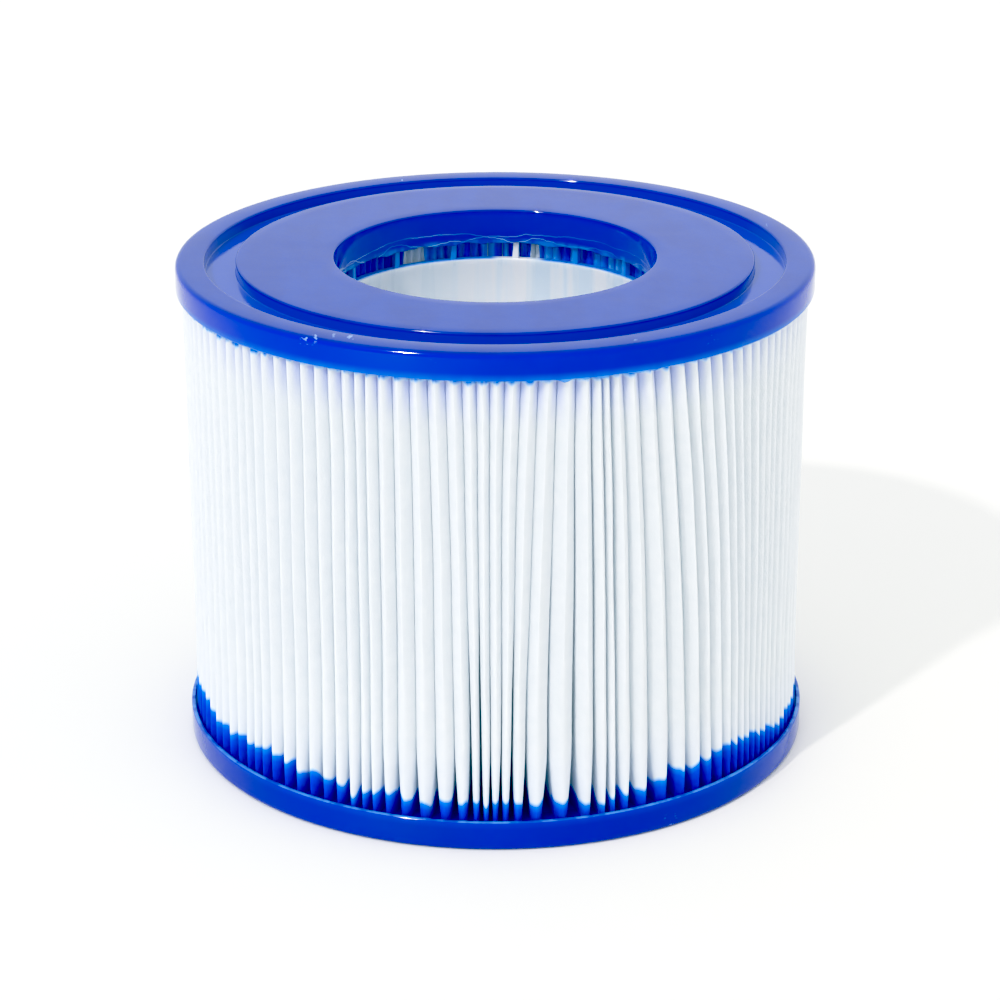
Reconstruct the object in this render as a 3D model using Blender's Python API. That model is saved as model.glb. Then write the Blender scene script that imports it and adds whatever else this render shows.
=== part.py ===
"""A pool and spa filter cartridge: pleated media on a perforated core tube, held between two cast end caps.

It stands on its bottom cap, with its axis on +Z and its origin at the middle of the lower face. Metres throughout.
"""

from math import cos, pi, radians, sin, tau

import bmesh
import bpy

# Overall size
HEIGHT = 0.0836
OUTER_RADIUS = 0.053
BORE_RADIUS = 0.02675
GAP = 0.0003  # left between pieces that touch on the real object

# End caps
CAP_SEGMENTS = 72
PLATE_THICKNESS = 0.0032
RIM_WALL = 0.0007
TOP_RIM_HEIGHT = 0.0045
BOTTOM_RIM_HEIGHT = 0.0050
LIP_WALL = 0.0007
LIP_HEIGHT = 0.0060
GROOVE_INNER_RADIUS = 0.0430
GROOVE_OUTER_RADIUS = 0.0481
GROOVE_DEPTH = 0.0020
OUTER_CHAMFER = 0.0005
GROOVE_CHAMFER = 0.0003

# Core tube
CORE_WALL = 0.0012
CORE_STRUTS = 16
CORE_TURN = radians(-7.5)
STRUT_WIDTH = 0.0010
COLUMNS_BETWEEN_STRUTS = 3
END_BAND = 0.0020
SHORT_WINDOW = 0.0035
SLEEVE_HEIGHT = 0.0110  # of the unbroken wall below each row of short windows
HOOP_HEIGHT = 0.0017
TALL_WINDOW_ROWS = 5

# Pleated media
PLEATS = 126
MEDIA_THICKNESS = 0.00045
SEAM_EXTRA_PITCH = 0.8  # how much wider the valley at the seam is, in pleats
SEAM_ANGLE = radians(90)

# Seam bead
BEAD_INNER_RADIUS = 0.0465
BEAD_OUTER_RADIUS = 0.0510
BEAD_INNER_WIDTH = 0.0016
BEAD_OUTER_WIDTH = 0.0022

# Worked out from the sizes above
CORE_INNER_RADIUS = BORE_RADIUS + LIP_WALL + GAP
CORE_OUTER_RADIUS = CORE_INNER_RADIUS + CORE_WALL
MEDIA_INNER_RADIUS = CORE_OUTER_RADIUS + GAP
MEDIA_OUTER_RADIUS = OUTER_RADIUS - RIM_WALL - GAP
PACK_BOTTOM = PLATE_THICKNESS + GAP
PACK_TOP = HEIGHT - PLATE_THICKNESS - GAP
PLEAT_PITCH = tau / (PLEATS + SEAM_EXTRA_PITCH)


def clear_scene():
    for thing in list(bpy.data.objects):
        bpy.data.objects.remove(thing, do_unlink=True)


def plain_material(name, color, roughness):
    material = bpy.data.materials.new(name)
    material.use_nodes = True
    shader = material.node_tree.nodes["Principled BSDF"]
    shader.inputs["Base Color"].default_value = (*color, 1.0)
    shader.inputs["Roughness"].default_value = roughness
    shader.inputs["Metallic"].default_value = 0.0
    return material


def add_object(name, mesh, material):
    piece = bpy.data.objects.new(name, mesh)
    mesh.materials.append(material)
    bpy.context.scene.collection.objects.link(piece)
    return piece


def finish_mesh(name, solid):
    """Turns a closed bmesh into a mesh whose faces point outwards."""
    bmesh.ops.recalc_face_normals(solid, faces=solid.faces)
    mesh = bpy.data.meshes.new(name)
    solid.to_mesh(mesh)
    solid.free()
    return mesh


def on_circle(radius, angle, z):
    return (radius * cos(angle), radius * sin(angle), z)


def cap_profile(rim_height):
    """(radius, height) round a cap's section, with the outer face at zero and the rest of the cap below it."""
    inside_rim = OUTER_RADIUS - RIM_WALL
    outside_lip = BORE_RADIUS + LIP_WALL
    return [
        (BORE_RADIUS, -LIP_HEIGHT),
        (BORE_RADIUS, -OUTER_CHAMFER),
        (BORE_RADIUS + OUTER_CHAMFER, 0.0),
        (GROOVE_INNER_RADIUS - GROOVE_CHAMFER, 0.0),
        (GROOVE_INNER_RADIUS, -GROOVE_CHAMFER),
        (GROOVE_INNER_RADIUS, -GROOVE_DEPTH),
        (GROOVE_OUTER_RADIUS, -GROOVE_DEPTH),
        (GROOVE_OUTER_RADIUS, -GROOVE_CHAMFER),
        (GROOVE_OUTER_RADIUS + GROOVE_CHAMFER, 0.0),
        (OUTER_RADIUS - OUTER_CHAMFER, 0.0),
        (OUTER_RADIUS, -OUTER_CHAMFER),
        (OUTER_RADIUS, -rim_height),
        (inside_rim, -rim_height),
        (inside_rim, -PLATE_THICKNESS),
        (outside_lip, -PLATE_THICKNESS),
        (outside_lip, -LIP_HEIGHT),
    ]


def add_cap(name, rim_height, material, upside_down=False):
    """An end cap turned from its section. The bottom cap is the same casting the other way up."""
    outline = bmesh.new()
    points = [outline.verts.new((radius, 0.0, z)) for radius, z in cap_profile(rim_height)]
    for start, end in zip(points, points[1:] + points[:1]):
        outline.edges.new((start, end))
    mesh = bpy.data.meshes.new(name)
    outline.to_mesh(mesh)
    outline.free()
    cap = add_object(name, mesh, material)
    turn = cap.modifiers.new("turn", "SCREW")
    turn.steps = CAP_SEGMENTS
    turn.render_steps = CAP_SEGMENTS
    turn.use_normal_calculate = True
    turn.use_smooth_shade = True
    if upside_down:
        cap.rotation_euler = (pi, 0.0, 0.0)
    else:
        cap.location = (0.0, 0.0, HEIGHT)
    return cap


def window_rows():
    """(bottom, top) of each row of windows in the core: a short row at each end, tall rows in the middle."""
    rows = [(PACK_BOTTOM + END_BAND, PACK_BOTTOM + END_BAND + SHORT_WINDOW)]
    lowest = rows[0][1] + SLEEVE_HEIGHT
    highest = PACK_TOP - END_BAND - SHORT_WINDOW - SLEEVE_HEIGHT
    step = (highest - lowest + HOOP_HEIGHT) / TALL_WINDOW_ROWS
    for row in range(TALL_WINDOW_ROWS):
        rows.append((lowest + row * step, lowest + (row + 1) * step - HOOP_HEIGHT))
    rows.append((PACK_TOP - END_BAND - SHORT_WINDOW, PACK_TOP - END_BAND))
    return rows


def core_angles():
    """The angles of the lattice's vertical lines: the sides of each strut, then the lines across the window."""
    pitch = tau / CORE_STRUTS
    strut = STRUT_WIDTH / CORE_OUTER_RADIUS
    column = (pitch - strut) / COLUMNS_BETWEEN_STRUTS
    turns = [-strut / 2] + [strut / 2 + column * step for step in range(COLUMNS_BETWEEN_STRUTS)]
    return [CORE_TURN + pitch * index + turn for index in range(CORE_STRUTS) for turn in turns]


def add_core(material):
    """The core tube: struts, hoops and sleeves as one lattice, drawn at its outer radius and extruded inwards."""
    rows = window_rows()
    levels = [PACK_BOTTOM] + [z for row in rows for z in row] + [PACK_TOP]
    angles = core_angles()
    per_strut = 1 + COLUMNS_BETWEEN_STRUTS
    lattice = bmesh.new()
    points = [[lattice.verts.new(on_circle(CORE_OUTER_RADIUS, angle, z)) for z in levels] for angle in angles]
    for column in range(len(angles)):
        beside = (column + 1) % len(angles)
        for level in range(len(levels) - 1):
            is_window = column % per_strut != 0 and level % 2 == 1
            if not is_window:
                lattice.faces.new(
                    (
                        points[column][level],
                        points[beside][level],
                        points[beside][level + 1],
                        points[column][level + 1],
                    )
                )
    extruded = bmesh.ops.extrude_face_region(lattice, geom=lattice.faces[:])
    inner_share = CORE_INNER_RADIUS / CORE_OUTER_RADIUS
    for item in extruded["geom"]:
        if isinstance(item, bmesh.types.BMVert):
            item.co.x *= inner_share
            item.co.y *= inner_share
    return add_object("core_tube", finish_mesh("core_tube", lattice), material)


def pleat_outline(pleat):
    """One pleat's (radius, angle) points: its outer face from the tip to the next valley, then its inner face."""
    tip = SEAM_ANGLE + (0.5 + SEAM_EXTRA_PITCH / 2 + pleat) * PLEAT_PITCH
    is_last = pleat == PLEATS - 1
    valley = SEAM_ANGLE if is_last else tip + PLEAT_PITCH / 2
    tip_turn = MEDIA_THICKNESS / MEDIA_OUTER_RADIUS
    valley_turn = MEDIA_THICKNESS / MEDIA_INNER_RADIUS
    outer_face = [
        (MEDIA_OUTER_RADIUS, tip - tip_turn),
        (MEDIA_OUTER_RADIUS, tip + tip_turn),
        (MEDIA_INNER_RADIUS + MEDIA_THICKNESS, valley),
    ]
    inner_face = [
        (MEDIA_OUTER_RADIUS - MEDIA_THICKNESS, tip),
        (MEDIA_INNER_RADIUS, valley - valley_turn),
        (MEDIA_INNER_RADIUS, valley + valley_turn),
    ]
    return outer_face, inner_face


def pleat_end_faces(outer, inner, next_outer, next_inner):
    """The faces that close one pleat's end: the fold at the tip, a flank, the fold at the valley, a flank."""
    return [
        (outer[0], outer[1], inner[0]),
        (outer[1], outer[2], inner[1], inner[0]),
        (outer[2], inner[2], inner[1]),
        (outer[2], next_outer[0], next_inner[0], inner[2]),
    ]


def add_media(material):
    """The pleated strip as one closed zigzag wall, three points a pleat on each of its two faces."""
    pack = bmesh.new()
    rings = []
    for z in (PACK_BOTTOM, PACK_TOP):
        ring = []
        for pleat in range(PLEATS):
            faces = pleat_outline(pleat)
            ring.append([[pack.verts.new(on_circle(r, angle, z)) for r, angle in face] for face in faces])
        rings.append(ring)
    for pleat in range(PLEATS):
        following = (pleat + 1) % PLEATS
        for ring in rings:
            for corners in pleat_end_faces(*ring[pleat], *ring[following]):
                pack.faces.new(corners)
        for side in (0, 1):
            lower = rings[0][pleat][side] + rings[0][following][side][:1]
            upper = rings[1][pleat][side] + rings[1][following][side][:1]
            for step in range(3):
                pack.faces.new((lower[step], lower[step + 1], upper[step + 1], upper[step]))
    return add_object("pleated_media", finish_mesh("pleated_media", pack), material)


def add_seam_bead(material):
    """The bead that bonds the strip's two ends, as a tapered bar in the wide valley at the seam."""
    bead = bmesh.new()
    corners = [
        (BEAD_INNER_RADIUS, -BEAD_INNER_WIDTH / 2),
        (BEAD_OUTER_RADIUS, -BEAD_OUTER_WIDTH / 2),
        (BEAD_OUTER_RADIUS, BEAD_OUTER_WIDTH / 2),
        (BEAD_INNER_RADIUS, BEAD_INNER_WIDTH / 2),
    ]
    section = bead.faces.new([bead.verts.new((radius, across, PACK_BOTTOM)) for radius, across in corners])
    extruded = bmesh.ops.extrude_face_region(bead, geom=[section])
    for item in extruded["geom"]:
        if isinstance(item, bmesh.types.BMVert):
            item.co.z = PACK_TOP
    piece = add_object("seam_bead", finish_mesh("seam_bead", bead), material)
    piece.rotation_euler = (0.0, 0.0, SEAM_ANGLE)
    return piece


def main():
    clear_scene()
    plastisol = plain_material("blue_plastisol", (0.004, 0.055, 0.62), 0.28)
    media = plain_material("white_polyester", (0.86, 0.90, 0.95), 0.85)
    plastic = plain_material("natural_plastic", (0.78, 0.85, 0.88), 0.35)
    adhesive = plain_material("clear_adhesive", (0.80, 0.80, 0.72), 0.30)
    add_cap("top_end_cap", TOP_RIM_HEIGHT, plastisol)
    add_cap("bottom_end_cap", BOTTOM_RIM_HEIGHT, plastisol, upside_down=True)
    add_core(plastic)
    add_media(media)
    add_seam_bead(adhesive)


main()
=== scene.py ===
"""The looks of a pool and spa filter cartridge: blue end caps, a white pleated strip, a core, a seam bead.

Angles round the cartridge are measured from the front, -Y, towards +X. Lengths are in metres.
"""

import random
from math import ceil, cos, exp, pi, radians, sin, tau

import bpy
import numpy as np
from mathutils import Euler, Matrix, Vector, noise


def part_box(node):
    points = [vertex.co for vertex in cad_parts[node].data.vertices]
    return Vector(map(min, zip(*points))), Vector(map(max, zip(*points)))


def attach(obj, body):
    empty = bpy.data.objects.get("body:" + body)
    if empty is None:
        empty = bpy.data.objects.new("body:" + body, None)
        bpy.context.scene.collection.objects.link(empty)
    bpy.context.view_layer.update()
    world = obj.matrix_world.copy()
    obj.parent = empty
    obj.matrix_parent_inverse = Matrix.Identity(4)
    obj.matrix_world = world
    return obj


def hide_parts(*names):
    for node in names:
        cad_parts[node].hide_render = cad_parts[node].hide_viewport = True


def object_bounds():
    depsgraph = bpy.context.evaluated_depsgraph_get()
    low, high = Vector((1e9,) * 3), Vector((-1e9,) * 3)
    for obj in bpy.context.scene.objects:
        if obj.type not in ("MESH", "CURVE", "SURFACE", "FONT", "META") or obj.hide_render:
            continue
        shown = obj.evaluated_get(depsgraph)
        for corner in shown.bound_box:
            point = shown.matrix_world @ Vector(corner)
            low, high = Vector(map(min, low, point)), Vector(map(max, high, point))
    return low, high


MM = 0.001
GAP = 0.3 * MM  # between pieces that touch

# Camera, with its angles in radians, its lens and sensor in millimetres
CAMERA_PLACE = (0.0, -0.4997, 0.2313)
CAMERA_PITCH = 0.3660
CAMERA_YAW = 0.0015
CAMERA_ROLL = -0.0011
CAMERA_LENS = 112.65
SENSOR_WIDTH = 36.0

# Light and floor. Colours here and below are linear red, green and blue
KEY_TRAVEL = (0.593, 0.805, -0.900)  # the way the light goes
KEY_STRENGTH = 0.95
KEY_ANGLE = radians(2.5)
# The glint is a second lamp in the key's place, which shows only in reflections
GLINT_STRENGTH = 9.0
GLINT_ANGLE = radians(2.5)
SKY_STRENGTH = 0.96
SKY_LEFT = (0.78, 0.85, 1.0)
SKY_RIGHT = (1.0, 1.0, 1.0)
# Red, green and blue light up to these levels shows as black
BLACK_LEVEL = (0.050, 0.014, 0.0)
# (light in, light shown), which lifts the middle tones
TONE_CURVE = ((0.25, 0.34), (0.50, 0.64), (0.75, 0.85))
FLOOR_SIZE = 8.0
FLOOR_TONES = ((0.965, 0.945, 0.870), (0.98, 0.96, 0.885))

# End caps
CAP_SEGMENTS = 600
COMPOUND_DEPTH = 4.3 * MM  # from a cap's outer face to the compound that holds the pleats
RIM_WALL = 0.7 * MM
LIP_WALL = 0.7 * MM
LIP_HEIGHT = 6.0 * MM
TOP_RIM_HEIGHT = 4.5 * MM
BOTTOM_RIM_HEIGHT = 5.0 * MM
GROOVE_INNER_RADIUS = 43.0 * MM
GROOVE_OUTER_RADIUS = 48.1 * MM
GROOVE_DEPTH = 2.0 * MM
FACE_WAVE = 0.05 * MM  # unevenness of the cast faces
RIM_RAGGEDNESS = 0.08 * MM  # of the rim's free edge, on its inner side
FLASH_HANG = 0.05 * MM  # of the thin flash below the top rim
LIP_WAVE = 0.35 * MM  # of the bore lip's lower edge
LONGEST_FACE = 2.2 * MM  # across a cap's section
# (depth below the face, lumps per metre, strength) of the lines of flash in a cap's bore, painted pale as
# painted highlights
FLASH_HIGHLIGHT_LINES = ((4.6 * MM, 62.0, 0.45), (5.4 * MM, 105.0, 0.65))
# (angle in degrees, spread in degrees, length) of the drips below the top rim
DRIPS = (
    (11.5, 0.9, 0.55 * MM),
    (15.0, 0.8, 0.30 * MM),
    (18.0, 1.0, 0.38 * MM),
    (24.5, 1.3, 0.22 * MM),
    (27.5, 0.8, 0.28 * MM),
    (-140.0, 2.5, 0.30 * MM),
)
CAP_BLUES = ((0.0, 0.004, 0.36), (0.0, 0.009, 0.41))
CAP_EDGE = (0.0, 0.115, 0.58)
# The bottom cap's blues and edge: darker copies of the top cap's, painted shade
LOWER_CAP_SHADED_BLUES = ((0.0, 0.002, 0.30), (0.0, 0.006, 0.34))
LOWER_CAP_SHADED_EDGE = (0.0, 0.024, 0.40)
# Darker blues of a cap's flat faces: painted shade against the sky's light on them
FACE_PAINTED_SHADE_BLUES = ((0.0, 0.010, 0.29), (0.0, 0.018, 0.34))
# Lighter blue of the groove: painted light in the recess
GROOVE_PAINTED_LIGHT_BLUE = (0.020, 0.046, 0.42)
# Palest blue of the rim's burr: partly flash, partly a painted highlight on the edge
BURR_AND_HIGHLIGHT_BLUE = (0.14, 0.32, 0.78)
# Lighter blue of a cap's bore: painted light in the hole
BORE_PAINTED_LIGHT_BLUE = (0.0, 0.024, 0.44)
FILM_BLUES = ((0.0, 0.05, 0.46), (0.02, 0.17, 0.62))
# Pale lines of flash: painted highlights on their edges
FLASH_LINE_HIGHLIGHT_BLUE = (0.46, 0.66, 0.88)
SCUFF_BLUE = (0.20, 0.30, 0.72)

# Pleated strip
PLEATS = 126
STRIP_THICKNESS = 0.45 * MM
STRIP_ENDS = 2.6 * MM  # from each cap's outer face to the strip's edge, inside the compound
STRIP_LEVELS = 24  # rows of points from edge to edge
LEVEL_EVENNESS = 0.35  # 1 spaces them evenly, 0 crowds them towards the edges
SEAM_EXTRA_PITCH = 0.8  # of wider gap at the seam, in pitches
PITCH_RANGE = (0.86, 1.14)  # least and most width of a pleat, in pitches, before it is crowded
BOTTOM_SHARE = 0.44  # of its room that a pleat fills where the bottom cap holds it
TOP_SHARE = 0.97
FULLNESS = (1.0, 1.04)  # least and most of its room that a pleat would fill away from the caps
FOLD_TURNS = (-90, -72, -50, -25, 0, 25, 50, 72, 90)  # degrees round a tip's fold, one for each point
ROUND_FOLD = 1.3  # exponent of a fold's section: 1 is round, 2 is a straight V
POINTED_FOLD = 1.95
FOLD_LEAST_DEPTH = 0.35 * MM
FOLD_DEPTH_SHARE = 0.36  # how deep a tip's fold goes, as a share of the pleat's width
FOLD_LEAST_HALF_WIDTH = 0.2 * MM
INNER_FOLD = 0.31  # half width of the fold on the core, as a share of the pitch
INNER_FOLD_DEPTH = 0.3 * MM
WIDEST_ROOM = 0.62  # to one side of a tip, as a share of the pitch
TIP_SETBACK = (0.0, 0.25)  # least and most that a whole tip stands back, in millimetres
TIP_DIP = 0.12 * MM  # how far a tip dips in and out on its way down
OWN_WANDER = 0.13 * MM  # sideways, of one pleat
SHARED_WANDER = 0.24 * MM  # sideways, together with its neighbours
# (angle in degrees, spread in degrees, how much closer the pleats stand there)
CROWDED = (
    (-49, 3, 0.35),
    (-24, 3, 0.40),
    (-2, 4, 0.28),
    (20.5, 4.2, 0.60),
    (62, 5, 0.12),
    (118, 6, 0.35),
    (-120, 7, 0.3),
)
# (angle in degrees, spread in degrees, share of their room that the pleats leave open near the bottom)
OPENED = (
    (-3.4, 1.7, 0.36),
    (2.9, 1.6, 0.30),
    (95, 8, 0.10),
    (-160, 6, 0.15),
)
# (angle in degrees, spread in degrees, sideways run for each unit down), most of which is near the top
LEANS = (
    (36, 18, 0.072),
    (8, 7, -0.032),
    (-8, 7, 0.016),
    (-95, 25, -0.03),
    (135, 24, 0.04),
    (-140, 16, 0.02),
)
STAIN_HEIGHT = 6.9 * MM  # at the bottom in front, from the cap's face
STAIN_RISE_AT_SIDES = 2.8 * MM
STAIN_RISE_IN_FOLDS = 3.0 * MM
STAIN_RISE_BEHIND_WINDOWS = 4.6 * MM
# (place along X, half width) of the folds behind the top windows that stayed clean
CLEAN_FOLDS = ((7.0 * MM, 0.5 * MM), (-14.2 * MM, 1.5 * MM))
MEDIA_WHITES = ((0.69, 0.735, 0.785), (0.725, 0.765, 0.81))
# Lavender in the folds under the top rim: painted shade and painted reflection of the caps' blue
MEDIA_PAINTED_SHADE_UNDER_RIM = (0.47, 0.50, 0.80)
# Bluish tint just above the bottom stain: painted shade
MEDIA_PAINTED_SHADE_NEAR_STAIN = (0.64, 0.70, 0.90)
# (share of compound soaked in, colour)
STAIN_RAMP = (
    (0.0, (0.72, 0.80, 0.92)),
    (0.13, (0.40, 0.56, 0.92)),
    (0.26, (0.02, 0.17, 0.74)),
    (0.55, (0.0, 0.065, 0.60)),
    (1.0, (0.0, 0.03, 0.48)),
)
# Stain behind the core: streaked, and painted lighter as painted light
INNER_STAIN_PAINTED_LIGHT_BLUES = ((0.0, 0.07, 0.74), (0.14, 0.36, 1.0))

# Core tube
CORE_WALL = 1.2 * MM
CORE_STRUTS = 16
CORE_TURN = radians(-7.5)  # from the front to the first strut
CORE_STRUT_WIDTH = 1.0 * MM
CORE_COLUMNS = 6  # of faces across each window
CORE_SHORT_WINDOW = 3.5 * MM
CORE_END_BAND = 2.0 * MM
CORE_SLEEVE = 11.0 * MM
CORE_HOOP = 1.7 * MM
CORE_WINDOW_ROWS = 5
RIDGE_HEIGHT = 1.5 * MM  # of the raised hoop at each end of a sleeve
RIDGE_RISE = 0.2 * MM
RIDGE_SLOPE = 0.55 * MM  # length over which it rises
CORE_EDGE_ROUNDING = 0.18 * MM
CLEAN_STRUT = 4.0 * MM  # place along X of the strut behind the top windows that stayed clean
# (cloudiness, colour): the plastic's milky streaks, set pale and bluish as painted light
PLASTIC_AND_PAINTED_LIGHT_RAMP = (
    (0.40, (0.80, 0.89, 1.0)),
    (0.50, (0.90, 0.95, 1.0)),
    (0.60, (1.0, 1.0, 1.0)),
)
PLASTIC_LEFT = (0.86, 0.92, 0.97)
PLASTIC_STAIN = (0.03, 0.22, 0.78)

# Seam bead
SEAM_SIDES = 16
SEAM_ROWS = 90
SEAM_MIDDLE_WIDTH = 0.82  # share of its room that the bead fills, halfway out
SEAM_TAPER = 0.12  # how much that share grows outwards
SEAM_WIDTH_SHARE = 0.9  # of that, so that its lumps stay inside its room
SEAM_DEPTH_SHARE = 0.93
SEAM_LUMPS = 0.10
SEAM_SWAY = 0.12 * MM
ADHESIVE_TONES = ((0.80, 0.79, 0.68), (0.88, 0.88, 0.80))

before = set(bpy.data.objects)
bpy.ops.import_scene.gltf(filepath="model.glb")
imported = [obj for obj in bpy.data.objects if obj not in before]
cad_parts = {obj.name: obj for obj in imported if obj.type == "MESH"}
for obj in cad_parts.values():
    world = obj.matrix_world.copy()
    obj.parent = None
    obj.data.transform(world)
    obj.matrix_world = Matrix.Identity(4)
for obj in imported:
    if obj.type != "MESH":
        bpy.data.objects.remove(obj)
cad_low, cad_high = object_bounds()
HEIGHT = cad_high.z
OUTER_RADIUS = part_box("top_end_cap")[1].x
STRIP_OUTER_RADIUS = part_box("pleated_media")[1].x
CORE_OUTER_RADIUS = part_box("core_tube")[1].x
CORE_INNER_RADIUS = CORE_OUTER_RADIUS - CORE_WALL
BORE_RADIUS = CORE_INNER_RADIUS - LIP_WALL - GAP
STRIP_INNER_RADIUS = CORE_OUTER_RADIUS + GAP
PACK_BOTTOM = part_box("core_tube")[0].z
PACK_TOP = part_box("core_tube")[1].z


# ---------------------------------------------------------------- helpers


def ring_point(radius, angle, z):
    return (radius * sin(angle), -radius * cos(angle), z)


def ring_noise(angle, z, detail, seed):
    """Smooth noise, about -1 to 1, that closes on itself round the ring. Detail is its lumps per radian."""
    return noise.noise(Vector((sin(angle) * detail + seed, cos(angle) * detail - seed, z + seed * 0.37)))


def bump(angle, centre_degrees, spread_degrees):
    """One smooth hump on the ring, 1 at its centre."""
    turn = (angle - radians(centre_degrees) + pi) % tau - pi
    return exp(-((turn / radians(spread_degrees)) ** 2))


def smooth_step(low, high, value):
    share = min(1.0, max(0.0, (value - low) / (high - low)))
    return share * share * (3.0 - 2.0 * share)


def add_piece(name, vertices, faces, material, smooth=True, sharp_degrees=50):
    """A mesh object with one material. Edges that turn by more than sharp_degrees stay crisp."""
    mesh = bpy.data.meshes.new(name)
    mesh.from_pydata(vertices, [], faces)
    mesh.validate()
    mesh.materials.append(material)
    piece = bpy.data.objects.new(name, mesh)
    bpy.context.scene.collection.objects.link(piece)
    if smooth:
        mesh.shade_smooth()
        mesh.set_sharp_from_angle(angle=radians(sharp_degrees))
    return piece


def hand_over(piece, node):
    """The piece takes the place of a CAD node, and of its finish."""
    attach(piece, "root")
    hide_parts(node)


# ---------------------------------------------------------------- materials


class Nodes:
    """Short names for building a node tree."""

    def __init__(self, tree):
        self.tree = tree

    def add(self, kind, **settings):
        node = self.tree.nodes.new(kind)
        for key, value in settings.items():
            setattr(node, key, value)
        return node

    def put(self, socket, value):
        if isinstance(value, bpy.types.NodeSocket):
            self.tree.links.new(value, socket)
        else:
            socket.default_value = value

    def math(self, operation, *values):
        node = self.add("ShaderNodeMath", operation=operation)
        for socket, value in zip(node.inputs, values):
            self.put(socket, value)
        return node.outputs[0]

    def product(self, *values):
        result = values[0]
        for value in values[1:]:
            result = self.math("MULTIPLY", result, value)
        return result

    def total(self, *values):
        result = values[0]
        for value in values[1:]:
            result = self.math("ADD", result, value)
        return result

    def split(self, vector):
        node = self.add("ShaderNodeSeparateXYZ")
        self.put(node.inputs[0], vector)
        return node.outputs

    def scaled(self, vector, scale):
        node = self.add("ShaderNodeVectorMath", operation="MULTIPLY")
        self.put(node.inputs[0], vector)
        self.put(node.inputs[1], scale)
        return node.outputs[0]

    def noise(self, vector, scale, detail=2.0, roughness=0.5, distortion=0.0):
        node = self.add("ShaderNodeTexNoise")
        self.put(node.inputs["Vector"], vector)
        node.inputs["Scale"].default_value = scale
        node.inputs["Detail"].default_value = detail
        node.inputs["Roughness"].default_value = roughness
        node.inputs["Distortion"].default_value = distortion
        return node.outputs["Fac"]

    def range(self, value, low, high, to_low=0.0, to_high=1.0, smooth=True):
        node = self.add("ShaderNodeMapRange")
        node.interpolation_type = "SMOOTHSTEP" if smooth else "LINEAR"
        self.put(node.inputs["Value"], value)
        self.put(node.inputs["From Min"], low)
        self.put(node.inputs["From Max"], high)
        self.put(node.inputs["To Min"], to_low)
        self.put(node.inputs["To Max"], to_high)
        return node.outputs["Result"]

    def mix(self, share, first, second):
        node = self.add("ShaderNodeMix", data_type="RGBA")
        self.put(node.inputs["Factor"], share)
        for name, value in (("A", first), ("B", second)):
            socket = next(item for item in node.inputs if item.name == name and item.type == "RGBA")
            self.put(socket, (*value, 1.0) if isinstance(value, tuple) else value)
        return next(item for item in node.outputs if item.type == "RGBA")

    def ramp(self, value, stops):
        node = self.add("ShaderNodeValToRGB")
        self.put(node.inputs["Fac"], value)
        elements = node.color_ramp.elements
        while len(elements) < len(stops):
            elements.new(0.5)
        for element, (position, color) in zip(elements, stops):
            element.position = position
            element.color = (*color, 1.0)
        return node.outputs["Color"]

    def bumped(self, height, strength, distance, normal=None):
        node = self.add("ShaderNodeBump")
        node.inputs["Strength"].default_value = strength
        node.inputs["Distance"].default_value = distance
        self.put(node.inputs["Height"], height)
        if normal is not None:
            self.put(node.inputs["Normal"], normal)
        return node.outputs["Normal"]


class Surface(Nodes):
    """A material's node tree, with its place on the object already split into parts."""

    def __init__(self, name):
        self.material = bpy.data.materials.new(name)
        self.material.use_nodes = True
        super().__init__(self.material.node_tree)
        self.shader = self.tree.nodes["Principled BSDF"]
        self.place = self.add("ShaderNodeTexCoord").outputs["Object"]
        self.x, self.y, self.z = self.split(self.place)
        squares = self.total(self.product(self.x, self.x), self.product(self.y, self.y))
        self.radius = self.math("SQRT", squares)
        # Noise read from here runs in upright streaks
        self.upright = self.scaled(self.place, (1.0, 1.0, 0.12))

    def set(self, **values):
        for key, value in values.items():
            self.put(self.shader.inputs[key.replace("_", " ")], value)


def flash_highlight_lines(n, depth):
    """Two thin wavy lines of flash near the bottom of a cap's bore, painted pale as painted highlights,
    strongest on the left.
    """
    flat = n.scaled(n.place, (1.0, 1.0, 0.0))
    lines = 0.0
    for offset, scale, strength in FLASH_HIGHLIGHT_LINES:
        wave = n.range(n.noise(flat, scale, detail=6.0), 0.3, 0.7, -0.9 * MM, 0.6 * MM)
        away = n.math("ABSOLUTE", n.math("SUBTRACT", depth, n.total(wave, offset)))
        lines = n.math("MAXIMUM", lines, n.range(away, 0.02 * MM, 0.11 * MM, strength, 0.0))
    patchy = n.range(n.noise(n.place, 170.0), 0.35, 0.6, 0.25, 1.0)
    side = n.range(n.x, 2 * MM, 14 * MM, 1.0, 0.35)
    return n.product(lines, patchy, side)


def scuffs(n, depth):
    """Short pale scratches on the outer part of a cap's face and at its edge."""
    grain = n.noise(n.scaled(n.place, (1.0, 0.3, 1.8)), 1300.0, detail=1.0)
    patch = n.range(n.noise(n.place, 85.0, detail=1.0), 0.635, 0.69)
    outer = n.range(n.radius, GROOVE_OUTER_RADIUS, GROOVE_OUTER_RADIUS + 1.5 * MM)
    return n.product(n.range(grain, 0.62, 0.70), patch, outer, n.range(depth, 3 * MM, 1 * MM))


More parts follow.
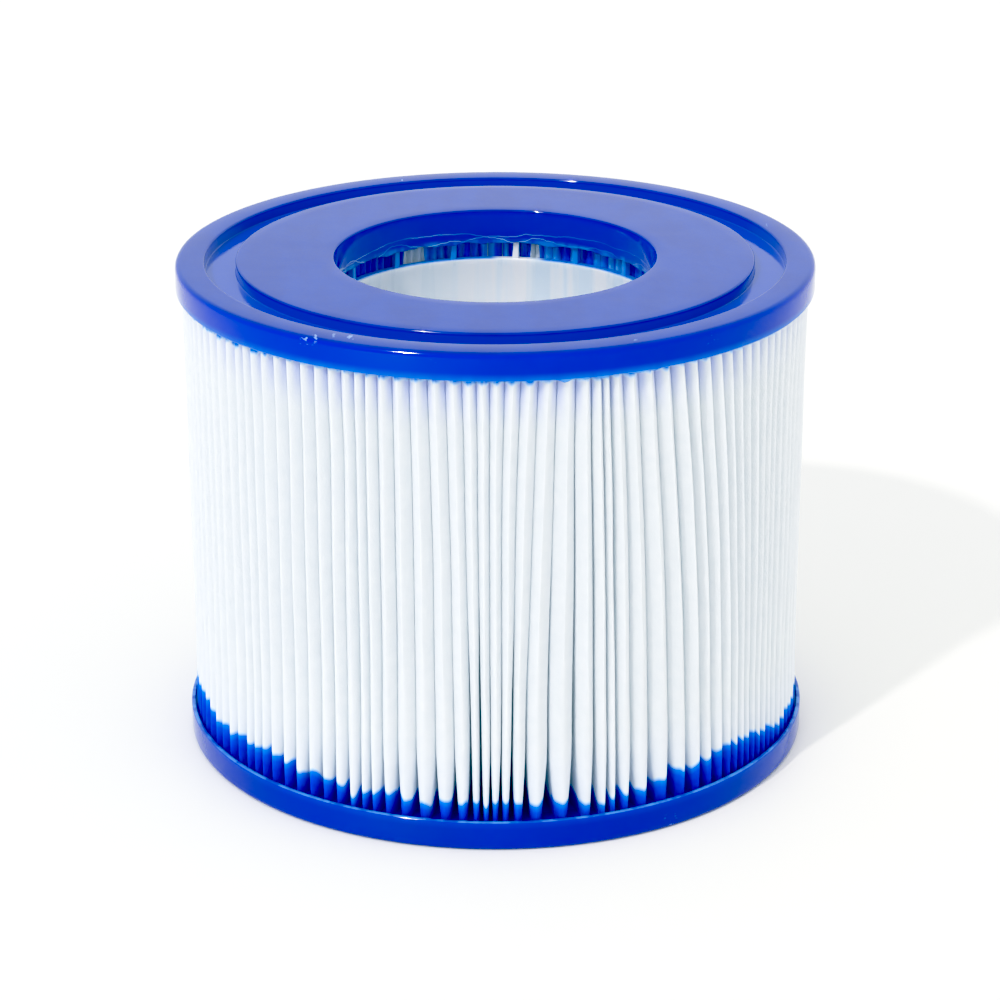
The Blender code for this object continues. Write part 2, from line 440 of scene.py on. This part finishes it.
def face_color(n, depth, streaks, color):
    """Adds a cap's flat rings, streaked and painted darker as painted shade, and the groove between them,
    painted lighter as painted light.
    """
    # The flat faces take darker blues: painted shade
    inside_edge = n.range(n.radius, OUTER_RADIUS, OUTER_RADIUS - 0.5 * MM)
    painted_shade_on_face = n.product(n.range(depth, 0.6 * MM, 0.1 * MM), inside_edge)
    color = n.mix(painted_shade_on_face, color, n.mix(n.range(streaks, 0.35, 0.65), *FACE_PAINTED_SHADE_BLUES))
    # The groove takes a lighter blue: painted light in the recess
    painted_light_in_groove = n.product(
        n.range(depth, 0.2 * MM, 0.7 * MM),
        n.range(n.radius, GROOVE_INNER_RADIUS - 0.3 * MM, GROOVE_INNER_RADIUS),
        n.range(n.radius, GROOVE_OUTER_RADIUS + 0.4 * MM, GROOVE_OUTER_RADIUS + 0.1 * MM),
    )
    return n.mix(painted_light_in_groove, color, GROOVE_PAINTED_LIGHT_BLUE)


def rim_color(n, from_edge, color, edge_color):
    """Adds the rim's free edge: paler where it thins out, and palest on its burr, which is partly flash and
    partly a painted highlight.
    """
    on_rim = n.range(n.radius, OUTER_RADIUS - 2.0 * MM, OUTER_RADIUS - 1.0 * MM)
    fringe = n.noise(n.scaled(n.place, (1.0, 1.0, 0.2)), 380.0, detail=2.0)
    thinness = n.range(from_edge, 1.4 * MM, -0.2 * MM)
    color = n.mix(n.product(thinness, on_rim, n.range(fringe, 0.3, 0.7, 0.75, 1.0)), color, edge_color)
    # Burr line: partly flash, partly a painted highlight
    burr_and_highlight = n.range(from_edge, 0.16 * MM, 0.04 * MM)
    return n.mix(n.product(burr_and_highlight, on_rim, n.range(fringe, 0.35, 0.65, 0.15, 0.75)), color, BURR_AND_HIGHLIGHT_BLUE)


def bore_color(n, depth, color):
    """Adds a cap's bore: painted lighter than its face as painted light, with a thin film and lines of
    flash at the bottom, the lines painted pale as painted highlights.
    """
    in_bore = n.range(n.radius, BORE_RADIUS + 0.9 * MM, BORE_RADIUS + 0.4 * MM)
    # The bore wall is painted lighter: painted light in the hole
    color = n.mix(n.product(in_bore, n.range(depth, 0.2 * MM, 0.6 * MM)), color, BORE_PAINTED_LIGHT_BLUE)
    film = n.mix(n.range(n.noise(n.upright, 420.0), 0.4, 0.65), *FILM_BLUES)
    color = n.mix(n.product(n.range(depth, 4.9 * MM, 5.7 * MM), in_bore), color, film)
    # Pale lines of flash: painted highlights
    return n.mix(n.product(flash_highlight_lines(n, depth), in_bore), color, FLASH_LINE_HIGHLIGHT_BLUE)


def plastisol(name, face, inwards, rim_height, blues, edge_color):
    """Cast blue plastisol, glossy and faintly streaked. Face is the height of a cap's face."""
    n = Surface(name)
    depth = n.product(n.math("SUBTRACT", face, n.z), inwards)
    clouds = n.noise(n.place, 45.0, detail=4.0, distortion=0.6)
    streaks = n.noise(n.scaled(n.place, (1.0, 0.35, 1.0)), 160.0, detail=5.0, roughness=0.6)
    color = n.mix(n.range(clouds, 0.3, 0.7), *blues)
    color = face_color(n, depth, streaks, color)
    color = rim_color(n, n.math("SUBTRACT", rim_height, depth), color, edge_color)
    color = bore_color(n, depth, color)
    n.set(Base_Color=n.mix(scuffs(n, depth), color, SCUFF_BLUE))
    n.set(Roughness=n.range(streaks, 0.35, 0.7, 0.05, 0.11))
    n.set(IOR=1.36)
    waves = n.noise(n.place, 90.0, detail=2.0)
    fine = n.noise(n.place, 1400.0, detail=3.0)
    n.set(Normal=n.bumped(fine, 0.05, 0.0002, n.bumped(waves, 0.10, 0.0005)))
    return n.material


def stain_share(n, depth, height):
    """1 where the compound has soaked in, 0 where it hasn't. Depth and height are from a cap's face."""
    above = n.math("SUBTRACT", depth, height)
    return n.range(above, -2.6 * MM, 0.8 * MM, 1.0, 0.0, smooth=False)


def stains(n):
    """The compound's rise into the strip: high and uneven at the bottom, hardly past the rim at the top."""
    pleat_noise = n.range(n.noise(n.upright, 260.0, detail=1.0), 0.28, 0.72, -0.9 * MM, 0.9 * MM)
    wide_noise = n.range(n.noise(n.upright, 70.0), 0.3, 0.7, -0.9 * MM, 0.9 * MM)
    sideways = n.math("ABSOLUTE", n.x)
    at_sides = n.range(sideways, 16 * MM, 50 * MM, 0.0, STAIN_RISE_AT_SIDES)
    in_folds = n.range(n.radius, 38 * MM, STRIP_OUTER_RADIUS, STAIN_RISE_IN_FOLDS, 0.0, smooth=False)
    at_right = n.range(n.x, 38 * MM, 48 * MM, 0.0, -1.6 * MM)
    low_height = n.total(STAIN_HEIGHT, pleat_noise, wide_noise, at_sides, at_right, in_folds)
    low = stain_share(n, n.z, low_height)
    foot = STRIP_INNER_RADIUS + 1 * MM
    through_windows = n.range(n.radius, foot, 36 * MM, STAIN_RISE_BEHIND_WINDOWS, 0.0)
    for place, half_wide in CLEAN_FOLDS:
        away = n.math("ABSOLUTE", n.math("SUBTRACT", n.x, place))
        through_windows = n.product(through_windows, n.range(away, half_wide, half_wide + 0.5 * MM))
    reach = n.range(n.x, -42 * MM, -20 * MM, 0.9 * MM, 0.35 * MM)
    fringe = n.product(n.range(n.noise(n.upright, 900.0, detail=1.0), 0.35, 0.7), reach)
    high_height = n.total(TOP_RIM_HEIGHT + 0.2 * MM, through_windows, n.product(pleat_noise, 0.2), fringe)
    high = stain_share(n, n.math("SUBTRACT", HEIGHT, n.z), high_height)
    return n.math("MAXIMUM", low, high)


def media_white(n, mottle):
    """The clean strip, with painted shade and painted reflections of the caps' blue in the folds under the
    top rim, and a bluish painted shade just above the stain.
    """
    white = n.mix(n.range(mottle, 0.3, 0.75), *MEDIA_WHITES)
    # Painted shade and reflected blue in the folds under the top rim
    painted_shade_under_rim = n.range(n.math("SUBTRACT", HEIGHT, n.z), 4 * MM, 14 * MM, 1.0, 0.0)
    off_tip = n.range(n.radius, STRIP_OUTER_RADIUS - 0.15 * MM, STRIP_OUTER_RADIUS - 1.1 * MM)
    near_rim = n.range(n.radius, 34 * MM, 42 * MM)
    white = n.mix(n.product(painted_shade_under_rim, off_tip, near_rim), white, MEDIA_PAINTED_SHADE_UNDER_RIM)
    # Bluish painted shade just above the stain
    return n.mix(n.range(n.z, 8 * MM, 20 * MM, 0.35, 0.0), white, MEDIA_PAINTED_SHADE_NEAR_STAIN)


def media_blue(n, stain):
    """The soaked strip, deeper the more compound it holds, and streaked where it shows through the core,
    where it is painted lighter as painted light for the little light that reaches it.
    """
    # Behind the core the stain is painted lighter: painted light
    inside = n.range(n.radius, 38 * MM, 32 * MM)
    streaks = n.range(n.noise(n.upright, 520.0, detail=1.0), 0.35, 0.65)
    return n.mix(inside, n.ramp(stain, STAIN_RAMP), n.mix(streaks, *INNER_STAIN_PAINTED_LIGHT_BLUES))


def spun_polyester():
    """White spun-bonded polyester, with fibres and thin spots, blue where the compound has soaked in."""
    n = Surface("spun_polyester")
    stain = stains(n)
    fibres = n.noise(n.scaled(n.place, (1.0, 1.0, 0.55)), 2600.0, detail=4.0, roughness=0.65)
    mottle = n.noise(n.place, 420.0, detail=3.0)
    n.set(Base_Color=n.mix(n.range(stain, 0.0, 0.12), media_white(n, mottle), media_blue(n, stain)))
    n.set(Roughness=n.range(stain, 0.1, 0.8, 0.92, 0.42))
    n.set(IOR=1.45)
    n.set(Specular_IOR_Level=0.1)
    n.set(Subsurface_Weight=0.7)
    n.set(Subsurface_Radius=(1.0, 1.0, 1.0))
    n.set(Subsurface_Scale=1.3 * MM)
    n.set(Normal=n.bumped(fibres, 0.35, 0.00012, n.bumped(mottle, 0.25, 0.0003)))
    return n.material


def natural_plastic():
    """Milky unpigmented plastic, with soft upright streaks and some of the caps' blue near its ends, set
    pale and bluish as painted light for the light coming through the pleats.
    """
    n = Surface("natural_plastic")
    cloud = n.noise(n.scaled(n.place, (1.0, 1.0, 0.04)), 300.0, detail=3.0)
    # Pale, bluish tones: painted light in the dim core
    color = n.mix(n.range(n.x, 3 * MM, -12 * MM, 0.0, 0.8), n.ramp(cloud, PLASTIC_AND_PAINTED_LIGHT_RAMP), PLASTIC_LEFT)
    from_end = n.math("MINIMUM", n.math("SUBTRACT", PACK_TOP, n.z), n.math("SUBTRACT", n.z, PACK_BOTTOM))
    window_end = CORE_END_BAND + CORE_SHORT_WINDOW
    stained = n.range(from_end, window_end + 0.3 * MM, window_end)
    from_clean_strut = n.math("ABSOLUTE", n.math("SUBTRACT", n.x, CLEAN_STRUT))
    wicked = n.product(stained, n.range(from_clean_strut, 3 * MM, 5 * MM, 0.0, 0.95))
    n.set(Base_Color=n.mix(wicked, color, PLASTIC_STAIN))
    n.set(Roughness=n.range(cloud, 0.3, 0.7, 0.22, 0.38))
    n.set(IOR=1.45)
    n.set(Subsurface_Weight=0.25)
    n.set(Subsurface_Radius=(1.0, 1.0, 1.0))
    n.set(Subsurface_Scale=0.7 * MM)
    n.set(Normal=n.bumped(n.noise(n.upright, 320.0, detail=2.0), 0.12, 0.0002))
    return n.material


def adhesive():
    """A squeezed bead of clear hot-melt adhesive, a little yellow."""
    n = Surface("clear_adhesive")
    cloud = n.noise(n.place, 300.0, detail=3.0)
    n.set(Base_Color=n.mix(cloud, *ADHESIVE_TONES))
    n.set(Roughness=n.range(cloud, 0.3, 0.7, 0.16, 0.30))
    n.set(Transmission_Weight=0.3)
    n.set(IOR=1.48)
    n.set(Normal=n.bumped(cloud, 0.2, 0.0004))
    return n.material


def pale_floor():
    n = Surface("pale_floor")
    n.set(Base_Color=n.mix(n.noise(n.place, 3.0), *FLOOR_TONES))
    n.set(Roughness=0.6)
    return n.material


# ---------------------------------------------------------------- end caps


def rounded_section(corners, steps=4):
    """A closed section's points, from (radius, z, fillet radius) corners, with each corner rounded off."""
    points = []
    for index, (radius, z, fillet) in enumerate(corners):
        here = Vector((radius, z))
        before = Vector(corners[index - 1][:2])
        after = Vector(corners[(index + 1) % len(corners)][:2])
        back = (before - here).normalized()
        on = (after - here).normalized()
        for step in range(steps + 1):
            share = step / steps
            start = here + back * fillet
            end = here + on * fillet
            points.append(start.lerp(here, share).lerp(here.lerp(end, share), share))
    return points


def filled_in(points, longest):
    """The same closed section, with extra points where two neighbours are further apart than longest."""
    full = []
    for index, point in enumerate(points):
        after = points[(index + 1) % len(points)]
        cuts = max(1, ceil((after - point).length / longest))
        full.extend(point.lerp(after, cut / cuts) for cut in range(cuts))
    return full


def cap_section(rim_height):
    """A cap's section from the bore outwards and back below, as points with the outer face at zero."""
    rim_inside = OUTER_RADIUS - RIM_WALL
    corners = [
        (BORE_RADIUS, -LIP_HEIGHT, 0.15 * MM),
        (BORE_RADIUS, 0.0, 0.35 * MM),
        (GROOVE_INNER_RADIUS, 0.0, 0.40 * MM),
        (GROOVE_INNER_RADIUS, -GROOVE_DEPTH, 0.18 * MM),
        (GROOVE_OUTER_RADIUS, -GROOVE_DEPTH, 0.18 * MM),
        (GROOVE_OUTER_RADIUS, 0.0, 0.40 * MM),
        (OUTER_RADIUS, 0.0, 1.0 * MM),
        (OUTER_RADIUS, -rim_height, 0.35 * MM),
        (rim_inside, -rim_height, 0.12 * MM),
        (rim_inside, -COMPOUND_DEPTH, 0.10 * MM),
        (BORE_RADIUS + LIP_WALL, -COMPOUND_DEPTH, 0.3 * MM),
        (BORE_RADIUS + LIP_WALL, -LIP_HEIGHT, 0.15 * MM),
    ]
    return filled_in(rounded_section(corners), LONGEST_FACE)


def rim_sag(angle, seed):
    """How far the compound hangs past the rim's edge, in a thin ragged flash and a few drips."""
    ragged = FLASH_HANG * max(0.0, ring_noise(angle, 0.0, 60.0, seed) + 0.2)
    return ragged + sum(length * bump(angle, centre, spread) for centre, spread, length in DRIPS)


def cast_height(radius, z, angle, rim_height, seed, drips):
    """The height of one point of a cap below its face, with the small unevenness of a casting."""
    near_face = smooth_step(-COMPOUND_DEPTH, -GROOVE_DEPTH, z)
    z = min(z + FACE_WAVE * ring_noise(angle, radius * 40, 1.3, seed) * near_face, 0.0)
    on_rim_edge = smooth_step(-rim_height + 0.8 * MM, -rim_height, z) * (radius > GROOVE_OUTER_RADIUS)
    if on_rim_edge:
        inner_share = smooth_step(OUTER_RADIUS, OUTER_RADIUS - RIM_WALL, radius)
        ragged = RIM_RAGGEDNESS * max(0.0, ring_noise(angle, 0.0, 70.0, seed) + 0.25)
        sag = rim_sag(angle, seed) if drips else 0.0
        z -= on_rim_edge * (ragged * inner_share + sag)
    on_lip = radius < BORE_RADIUS + 2 * LIP_WALL
    on_lip_edge = smooth_step(-LIP_HEIGHT + 1.2 * MM, -LIP_HEIGHT, z) * on_lip
    if on_lip_edge:
        wave = ring_noise(angle, 0.0, 9.0, seed) + 0.5 * ring_noise(angle, 0.0, 32.0, seed)
        z += on_lip_edge * LIP_WAVE * wave
    return z


def add_cap(name, node, rim_height, material, seed, upside_down=False):
    section = cap_section(rim_height)
    vertices = []
    for segment in range(CAP_SEGMENTS):
        angle = tau * segment / CAP_SEGMENTS
        for point in section:
            z = cast_height(point.x, point.y, angle, rim_height, seed, not upside_down)
            vertices.append(ring_point(point.x, angle, -z if upside_down else HEIGHT + z))
    count = len(section)
    faces = []
    for segment in range(CAP_SEGMENTS):
        here = segment * count
        there = (segment + 1) % CAP_SEGMENTS * count
        for index in range(count):
            after = (index + 1) % count
            face = (here + index, there + index, there + after, here + after)
            faces.append(face if upside_down else face[::-1])
    piece = add_piece(name, vertices, faces, material)
    hand_over(piece, node)


# ---------------------------------------------------------------- pleated strip


def pleat_layout(draw):
    """The angles of the tips and each pleat's share of the ring, with a wider gap left at the seam."""
    shares = []
    for pleat in range(PLEATS):
        angle = -pi + tau * (pleat + 0.5) / PLEATS
        crowd = sum(closer * bump(angle, centre, spread) for centre, spread, closer in CROWDED)
        shares.append((1.0 - crowd) * draw.uniform(*PITCH_RANGE))
    seam = SEAM_EXTRA_PITCH * sum(shares) / PLEATS
    scale = tau / (sum(shares) + seam)
    tips = []
    edge = -pi + seam * scale / 2
    for share in shares:
        tips.append(edge + share * scale / 2)
        edge += share * scale
    return tips, [share * scale for share in shares]


def lean_at(angle):
    """The strip's sideways run for each unit down, on average: nothing at the seam, which is straight."""
    run = sum(run * bump(angle, centre, spread) for centre, spread, run in LEANS)
    return run * (1.0 - bump(angle, 180, 20))


def strip_levels():
    """Heights of the strip's rows of points, closer together towards the caps."""
    low = STRIP_ENDS
    high = HEIGHT - STRIP_ENDS
    heights = []
    for level in range(STRIP_LEVELS):
        even = level / (STRIP_LEVELS - 1)
        eased = 0.5 - 0.5 * cos(pi * even)
        heights.append(low + (high - low) * (LEVEL_EVENNESS * even + (1 - LEVEL_EVENNESS) * eased))
    return heights


def filled_share(z, angle, fullness):
    """How much of its room a pleat fills: pinched where the caps hold it, and filled out between them."""
    opened = sum(open_share * bump(angle, centre, spread) for centre, spread, open_share in OPENED)
    full = fullness - opened * (1.0 - smooth_step(20 * MM, 50 * MM, z))
    below = BOTTOM_SHARE + (full - BOTTOM_SHARE) * smooth_step(0.0, 19 * MM, z)
    above = TOP_SHARE + (full - TOP_SHARE) * smooth_step(HEIGHT - 3 * MM, HEIGHT - 14 * MM, z)
    return min(below, above)


def fold_path(tip, rooms, share, point, tip_radius):
    """The middle line round one tip, as (radius, angle) points. Rooms are the angles on its two sides."""
    depth = FOLD_LEAST_DEPTH + FOLD_DEPTH_SHARE * share * sum(rooms) * STRIP_OUTER_RADIUS
    path = []
    for turn in FOLD_TURNS:
        room = rooms[0] if turn < 0 else rooms[1]
        half_wide = max(share * room * STRIP_OUTER_RADIUS - STRIP_THICKNESS / 2, FOLD_LEAST_HALF_WIDTH)
        across = half_wide * abs(sin(radians(turn))) ** point * (-1 if turn < 0 else 1)
        radius = tip_radius - STRIP_THICKNESS / 2 - depth * (1.0 - abs(cos(radians(turn))) ** point)
        path.append((radius, tip + across / radius))
    return path


def away_from_caps(z):
    """0 where a cap holds the strip, 1 from 20 mm inwards."""
    return smooth_step(4 * MM, 20 * MM, z) * smooth_step(HEIGHT - 4 * MM, HEIGHT - 20 * MM, z)


def tips_at(z, tips, traits):
    """The tips' angles at one height, moved by the strip's lean and by a little wander of its own."""
    moved = []
    for tip, (_, _, seed) in zip(tips, traits):
        wander = OWN_WANDER * noise.noise(Vector((seed, z * 55, 0.0)))
        wander += SHARED_WANDER * noise.noise(Vector((tip * 9, z * 30, 4.0)))
        lean = lean_at(tip) * (HEIGHT - z * z / HEIGHT)
        moved.append(tip + (wander * away_from_caps(z) + lean) / STRIP_OUTER_RADIUS)
    return moved


def pleat_paths(z, tips, valleys, pitches, traits):
    """The middle line round each pleat's tip at one height."""
    point = ROUND_FOLD + (POINTED_FOLD - ROUND_FOLD) * smooth_step(8 * MM, 36 * MM, z)
    paths = []
    for index, (tip, pitch, (fullness, setback, seed)) in enumerate(zip(tips, pitches, traits)):
        before = valleys[index - 1] - (tau if index == 0 else 0.0)
        rooms = [min(room, WIDEST_ROOM * pitch) for room in (tip - before, valleys[index] - tip)]
        share = min(1.0, filled_share(z, tip, fullness) + 0.02 * noise.noise(Vector((seed, z * 60, 2.0))))
        dip = TIP_DIP * (1 + noise.noise(Vector((seed, z * 40, 9.0))))
        tip_radius = STRIP_OUTER_RADIUS - (setback + dip) * away_from_caps(z)
        paths.append(fold_path(tip, rooms, share, point, tip_radius))
    return paths


def line_between(start, end):
    """Two points spaced evenly on the way from start to end."""
    return [tuple(a + (b - a) * share for a, b in zip(start, end)) for share in (1 / 3, 2 / 3)]


def strip_row(z, tips, pitches, traits):
    """The strip's middle line at one height, as (radius, angle) points, the same number for each pleat."""
    moved = tips_at(z, tips, traits)
    valleys = [(here + after) / 2 for here, after in zip(moved, moved[1:])] + [pi]
    paths = pleat_paths(z, moved, valleys, pitches, traits)
    foot = STRIP_INNER_RADIUS + STRIP_THICKNESS / 2 + INNER_FOLD_DEPTH
    points = []
    for index, path in enumerate(paths):
        is_last = index == len(paths) - 1
        end_radius, end_angle = paths[0 if is_last else index + 1][0]
        valley = valleys[index]
        inner_fold = (INNER_FOLD + (SEAM_EXTRA_PITCH / 2 if is_last else 0.0)) * pitches[index]
        points.extend(path)
        points.extend(line_between(path[-1], (foot, valley - inner_fold)))
        points.append((foot, valley - inner_fold))
        points.append((foot - INNER_FOLD_DEPTH, valley))
        points.append((foot, valley + inner_fold))
        points.extend(line_between(points[-1], (end_radius, end_angle + (tau if is_last else 0.0))))
    return np.array(points)


def strip_skins(row, z):
    """The strip's outer and inner points at one height, half its thickness off its middle line."""
    flat = np.column_stack((row[:, 0] * np.sin(row[:, 1]), -row[:, 0] * np.cos(row[:, 1])))
    along = np.roll(flat, -1, axis=0) - np.roll(flat, 1, axis=0)
    along /= np.linalg.norm(along, axis=1, keepdims=True)
    outward = np.column_stack((along[:, 1], -along[:, 0]))
    height = np.full((len(flat), 1), z)
    outer = np.hstack((flat + outward * STRIP_THICKNESS / 2, height))
    inner = np.hstack((flat - outward * STRIP_THICKNESS / 2, height))
    return outer, inner


def strip_faces(count, levels):
    """The faces of both skins and of the edges between them. All outer points come before the inner."""
    shift = count * levels
    columns = np.arange(count)
    beside = (columns + 1) % count
    faces = []
    for level in range(levels - 1):
        low = level * count
        high = low + count
        faces.append(np.column_stack((low + columns, low + beside, high + beside, high + columns)))
        faces.append(shift + np.column_stack((low + beside, low + columns, high + columns, high + beside)))
    top = (levels - 1) * count
    faces.append(np.column_stack((beside, columns, shift + columns, shift + beside)))
    faces.append(top + np.column_stack((columns, beside, shift + beside, shift + columns)))
    return np.vstack(faces)


def add_strip(material):
    draw = random.Random(7)
    tips, pitches = pleat_layout(draw)
    # Each pleat's fullness, how far its tip stands back, and the seed of its noise
    traits = [
        (draw.uniform(*FULLNESS), draw.uniform(*TIP_SETBACK) * MM, draw.uniform(0, 100))
        for _ in tips
    ]
    skins = [strip_skins(strip_row(z, tips, pitches, traits), z) for z in strip_levels()]
    outer = [skin[0] for skin in skins]
    inner = [skin[1] for skin in skins]
    vertices = np.vstack(outer + inner)
    faces = strip_faces(len(outer[0]), len(skins))
    piece = add_piece("pleated_strip", vertices.tolist(), faces.tolist(), material, sharp_degrees=70)
    hand_over(piece, "pleated_media")


# ---------------------------------------------------------------- core tube


def window_rows():
    """(bottom, top) of each row of windows: a short row at each end, tall rows in the middle."""
    rows = [(PACK_BOTTOM + CORE_END_BAND, PACK_BOTTOM + CORE_END_BAND + CORE_SHORT_WINDOW)]
    lowest = rows[0][1] + CORE_SLEEVE
    highest = PACK_TOP - CORE_END_BAND - CORE_SHORT_WINDOW - CORE_SLEEVE
    step = (highest - lowest + CORE_HOOP) / CORE_WINDOW_ROWS
    for row in range(CORE_WINDOW_ROWS):
        rows.append((lowest + row * step, lowest + (row + 1) * step - CORE_HOOP))
    rows.append((PACK_TOP - CORE_END_BAND - CORE_SHORT_WINDOW, PACK_TOP - CORE_END_BAND))
    return rows


def core_levels():
    """(height, inner radius, whether windows start there) of each ring, with ridges at a sleeve's ends."""
    rows = window_rows()
    raised = CORE_INNER_RADIUS - RIDGE_RISE
    ridge_profile = (
        (RIDGE_RISE, raised),
        (RIDGE_HEIGHT - RIDGE_SLOPE, raised),
        (RIDGE_HEIGHT, CORE_INNER_RADIUS),
    )
    levels = [(PACK_BOTTOM, CORE_INNER_RADIUS, False)]
    for (bottom, top), above in zip(rows, rows[1:] + [(PACK_TOP, PACK_TOP)]):
        levels.append((bottom, CORE_INNER_RADIUS, True))
        levels.append((top, CORE_INNER_RADIUS, False))
        if above[0] - top > 2 * RIDGE_HEIGHT:
            for start, side in ((top, 1), (above[0], -1)):
                ridge = [(start + side * offset, radius, False) for offset, radius in ridge_profile]
                levels.extend(ridge[::side])
    levels.append((PACK_TOP, CORE_INNER_RADIUS, False))
    return levels


def core_angles():
    """The angles of the lattice's upright lines: a strut's two sides, then the lines across its window."""
    pitch = tau / CORE_STRUTS
    strut = CORE_STRUT_WIDTH / CORE_OUTER_RADIUS
    column = (pitch - strut) / CORE_COLUMNS
    turns = [-strut / 2] + [strut / 2 + column * step for step in range(CORE_COLUMNS)]
    return [CORE_TURN + pitch * index + turn for index in range(CORE_STRUTS) for turn in turns]


def lattice_faces(levels, count):
    """The faces of the lattice's two skins, and of the walls round its windows and at its ends."""
    shift = count * len(levels)

    def is_solid(column, level):
        if not 0 <= level < len(levels) - 1:
            return False
        return column % (1 + CORE_COLUMNS) == 0 or not levels[level][2]

    faces = []
    for level in range(len(levels) - 1):
        for column in range(count):
            if not is_solid(column, level):
                continue
            beside = (column + 1) % count
            # The face's corners on the outer skin: two below, then two above
            a, b = level * count + column, level * count + beside
            c, d = b + count, a + count
            faces.append((a, b, c, d))
            faces.append((shift + b, shift + a, shift + d, shift + c))
            if not is_solid(column, level - 1):
                faces.append((b, a, shift + a, shift + b))
            if not is_solid(column, level + 1):
                faces.append((d, c, shift + c, shift + d))
            if not is_solid(beside, level):
                faces.append((c, b, shift + b, shift + c))
            if not is_solid((column - 1) % count, level):
                faces.append((a, d, shift + d, shift + a))
    return faces


def add_core(material):
    """The core tube as a lattice of struts, hoops and sleeves, with its edges rounded."""
    levels = core_levels()
    angles = core_angles()
    vertices = [ring_point(CORE_OUTER_RADIUS, angle, z) for z, _, _ in levels for angle in angles]
    vertices += [ring_point(radius, angle, z) for z, radius, _ in levels for angle in angles]
    piece = add_piece("core", vertices, lattice_faces(levels, len(angles)), material, sharp_degrees=40)
    edges = piece.modifiers.new("rounded edges", "BEVEL")
    edges.width = CORE_EDGE_ROUNDING
    edges.segments = 2
    edges.limit_method = "ANGLE"
    edges.angle_limit = radians(60)
    hand_over(piece, "core_tube")


# ---------------------------------------------------------------- seam bead


def add_seam(material):
    """A squeezed bead along the valley where the strip's two ends meet."""
    low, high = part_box("seam_bead")
    centre_y = (low.y + high.y) / 2
    half_depth = (high.y - low.y) / 2
    half_wide = (high.x - low.x) / 2
    vertices = []
    for row in range(SEAM_ROWS):
        z = low.z + (high.z - low.z) * row / (SEAM_ROWS - 1)
        lump = 1.0 + SEAM_LUMPS * noise.noise(Vector((1.0, 2.0, z * 160)))
        sway = SEAM_SWAY * noise.noise(Vector((5.0, 1.0, z * 60)))
        for side in range(SEAM_SIDES):
            turn = tau * side / SEAM_SIDES
            deep = sin(turn)
            taper = SEAM_MIDDLE_WIDTH + SEAM_TAPER * deep
            x = half_wide * taper * lump * SEAM_WIDTH_SHARE * cos(turn) + sway
            vertices.append((x, centre_y + half_depth * SEAM_DEPTH_SHARE * deep, z))
    last = (SEAM_ROWS - 1) * SEAM_SIDES
    faces = [tuple(reversed(range(SEAM_SIDES))), tuple(range(last, last + SEAM_SIDES))]
    for here in range(0, last, SEAM_SIDES):
        above = here + SEAM_SIDES
        for side in range(SEAM_SIDES):
            after = (side + 1) % SEAM_SIDES
            faces.append((here + side, here + after, above + after, above + side))
    piece = add_piece("seam", vertices, faces, material)
    hand_over(piece, "seam_bead")


# ---------------------------------------------------------------- stage


def add_floor():
    half = FLOOR_SIZE / 2
    corners = [(-half, -half, 0.0), (half, -half, 0.0), (half, half, 0.0), (-half, half, 0.0)]
    floor = add_piece("floor", corners, [(0, 1, 2, 3)], pale_floor(), smooth=False)


def add_sun(name, strength, angle):
    """A lamp far away, from high on the left in front."""
    sun = bpy.data.objects.new(name, bpy.data.lights.new(name, "SUN"))
    sun.data.energy = strength
    sun.data.angle = angle
    sun.rotation_mode = "QUATERNION"
    sun.rotation_quaternion = Vector(KEY_TRAVEL).to_track_quat("-Z", "Y")
    bpy.context.scene.collection.objects.link(sun)
    return sun


def add_sky():
    """A white studio all round, a little darker and bluer on the left."""
    world = bpy.data.worlds.new("studio")
    world.use_nodes = True
    n = Nodes(world.node_tree)
    x, _, _ = n.split(n.add("ShaderNodeTexCoord").outputs["Generated"])
    background = n.tree.nodes["Background"]
    n.put(background.inputs["Color"], n.mix(n.range(x, -0.9, 0.5), SKY_LEFT, SKY_RIGHT))
    n.put(background.inputs["Strength"], SKY_STRENGTH)
    bpy.context.scene.world = world


def set_tone():
    """Plain display colours, with deep tones let down to black and middle tones lifted."""
    view = bpy.context.scene.view_settings
    view.view_transform = "Standard"
    view.use_curve_mapping = True
    view.curve_mapping.black_level = BLACK_LEVEL
    for light, shown in TONE_CURVE:
        view.curve_mapping.curves[3].points.new(light, shown)
    view.curve_mapping.update()


def add_camera():
    camera = bpy.data.objects.new("camera", bpy.data.cameras.new("camera"))
    camera.data.lens = CAMERA_LENS
    camera.data.sensor_width = SENSOR_WIDTH
    camera.data.clip_start = 0.01
    level_aim = Euler((pi / 2 - CAMERA_PITCH, 0.0, -CAMERA_YAW)).to_matrix()
    aim = level_aim @ Matrix.Rotation(CAMERA_ROLL, 3, "Z")
    camera.matrix_world = Matrix.LocRotScale(Vector(CAMERA_PLACE), aim, None)
    bpy.context.scene.collection.objects.link(camera)
    bpy.context.scene.camera = camera


# ---------------------------------------------------------------- the object


def main():
    upper = plastisol("plastisol_top", HEIGHT, 1.0, TOP_RIM_HEIGHT, CAP_BLUES, CAP_EDGE)
    # The bottom cap takes darker copies of the same plastisol: painted shade
    lower = plastisol("plastisol_bottom", 0.0, -1.0, BOTTOM_RIM_HEIGHT, LOWER_CAP_SHADED_BLUES, LOWER_CAP_SHADED_EDGE)
    add_cap("top_cap", "top_end_cap", TOP_RIM_HEIGHT, upper, seed=2.0)
    add_cap("bottom_cap", "bottom_end_cap", BOTTOM_RIM_HEIGHT, lower, seed=11.0, upside_down=True)
    add_core(natural_plastic())
    add_strip(spun_polyester())
    add_seam(adhesive())
    add_floor()
    add_sun("key", KEY_STRENGTH, KEY_ANGLE)
    glint = add_sun("glint", GLINT_STRENGTH, GLINT_ANGLE)
    glint.visible_diffuse = False
    glint.visible_transmission = False
    add_sky()
    set_tone()
    add_camera()


main()
